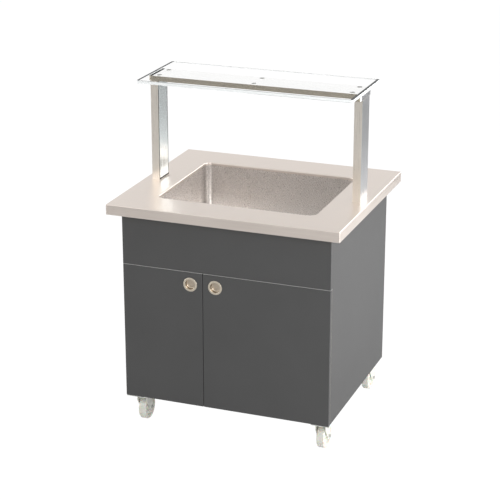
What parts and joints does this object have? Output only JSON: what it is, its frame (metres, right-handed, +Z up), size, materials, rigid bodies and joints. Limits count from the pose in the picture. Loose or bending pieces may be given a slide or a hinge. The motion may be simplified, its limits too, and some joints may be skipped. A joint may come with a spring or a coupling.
{
  "type": "mobile salad bar",
  "caption": "Wheeled steel serving cabinet with a drained rectangular well in a stainless worktop, two hinged doors and a clear glass shelf on a beam between posts.",
  "frame": {"origin": "on the floor under the centre of the worktop", "axes": "+Z up, -Y the front with the doors, +X to the right seen from the front"},
  "size_m": [0.93, 0.81, 1.361],
  "materials": {
    "body_paint": "matt grey powder coat",
    "stainless": "brushed",
    "edge_trim": "satin",
    "galvanised_steel": "galvanised",
    "core_board": "sealed board",
    "insulation_foam": "rigid foam",
    "valve_brass": "nickel-plated brass",
    "zinc_steel": "bright zinc",
    "pad_rubber": "translucent silicone",
    "clear_glass": "clear toughened",
    "catch_plastic": "moulded",
    "satin_nickel": "satin nickel",
    "lever_grip": "dipped red vinyl over zinc",
    "wheel_nylon": "moulded cream nylon"
  },
  "bodies": {
    "root": {"base_tray": "body_paint", "left_base_channel": "stainless", "right_base_channel": "stainless", "left_side_panel": "body_paint", "right_side_panel": "body_paint", "left_side_liner": "stainless", "right_side_liner": "stainless", "back_panel": "body_paint", "front_fascia": "body_paint", "fascia_trim": "edge_trim", "top_rail": "stainless", "door_rail": "stainless", "divider_panel": "stainless", "storage_shelf": "stainless", "shelf_clips": "galvanised_steel", "worktop": "stainless", "worktop_core": "core_board", "basin": "stainless", "basin_insulation": "insulation_foam", "basin_jacket": "galvanised_steel", "drain_strainer": "stainless", "drain_waste": "valve_brass", "drain_pipe": "stainless", "valve_body": "valve_brass", "outlet_pipe": "stainless", "left_post": "stainless", "right_post": "stainless", "left_post_cover": "stainless", "right_post_cover": "stainless", "post_studs": "zinc_steel", "shelf_beam": "stainless", "beam_base_plate": "stainless", "beam_screws": "zinc_steel", "glass_pads": "pad_rubber", "glass_shelf": "clear_glass", "door_catches": "catch_plastic", "lower_hinge_brackets": "zinc_steel", "upper_pivot_pins": "zinc_steel", "castor_plates": "zinc_steel", "castor_bolts": "zinc_steel"},
    "left_door": {"left_door_pan": "body_paint", "left_door_liner": "stainless", "left_door_pull": "satin_nickel"},
    "right_door": {"right_door_pan": "body_paint", "right_door_liner": "stainless", "right_door_pull": "satin_nickel"},
    "drain_lever": {"valve_ball": "stainless", "valve_lever": "lever_grip"},
    "front_left_castor_fork": {"front_left_fork": "zinc_steel", "front_left_axle": "zinc_steel"},
    "front_left_castor_wheel": {"front_left_wheel": "wheel_nylon"},
    "front_right_castor_fork": {"front_right_fork": "zinc_steel", "front_right_axle": "zinc_steel"},
    "front_right_castor_wheel": {"front_right_wheel": "wheel_nylon"},
    "back_left_castor_fork": {"back_left_fork": "zinc_steel", "back_left_axle": "zinc_steel"},
    "back_left_castor_wheel": {"back_left_wheel": "wheel_nylon"},
    "back_right_castor_fork": {"back_right_fork": "zinc_steel", "back_right_axle": "zinc_steel"},
    "back_right_castor_wheel": {"back_right_wheel": "wheel_nylon"}
  },
  "joints": [
    {"name": "left_door_hinge", "type": "hinge", "parent": "root", "child": "left_door", "pos_m": [-0.4135, -0.352, 0.406], "axis": [0, 0, -1], "range_deg": [0, 110]},
    {"name": "right_door_hinge", "type": "hinge", "parent": "root", "child": "right_door", "pos_m": [0.4135, -0.352, 0.406], "axis": [0, 0, 1], "range_deg": [0, 110]},
    {"name": "valve_lever_turn", "type": "hinge", "parent": "root", "child": "drain_lever", "pos_m": [-0.25, -0.038, 0.43], "axis": [0, 1, 0], "range_deg": [0, 90]},
    {"name": "front_left_castor_swivel", "type": "hinge", "parent": "root", "child": "front_left_castor_fork", "pos_m": [-0.374, -0.295, 0.115], "axis": [0, 0, 1], "continuous": true},
    {"name": "front_left_castor_roll", "type": "hinge", "parent": "front_left_castor_fork", "child": "front_left_castor_wheel", "pos_m": [-0.374, -0.27, 0.05], "axis": [1, 0, 0], "continuous": true},
    {"name": "front_right_castor_swivel", "type": "hinge", "parent": "root", "child": "front_right_castor_fork", "pos_m": [0.374, -0.295, 0.115], "axis": [0, 0, 1], "continuous": true},
    {"name": "front_right_castor_roll", "type": "hinge", "parent": "front_right_castor_fork", "child": "front_right_castor_wheel", "pos_m": [0.374, -0.27, 0.05], "axis": [1, 0, 0], "continuous": true},
    {"name": "back_left_castor_swivel", "type": "hinge", "parent": "root", "child": "back_left_castor_fork", "pos_m": [-0.374, 0.295, 0.115], "axis": [0, 0, 1], "continuous": true},
    {"name": "back_left_castor_roll", "type": "hinge", "parent": "back_left_castor_fork", "child": "back_left_castor_wheel", "pos_m": [-0.374, 0.32, 0.05], "axis": [1, 0, 0], "continuous": true},
    {"name": "back_right_castor_swivel", "type": "hinge", "parent": "root", "child": "back_right_castor_fork", "pos_m": [0.374, 0.295, 0.115], "axis": [0, 0, 1], "continuous": true},
    {"name": "back_right_castor_roll", "type": "hinge", "parent": "back_right_castor_fork", "child": "back_right_castor_wheel", "pos_m": [0.374, 0.32, 0.05], "axis": [1, 0, 0], "continuous": true}
  ]
}
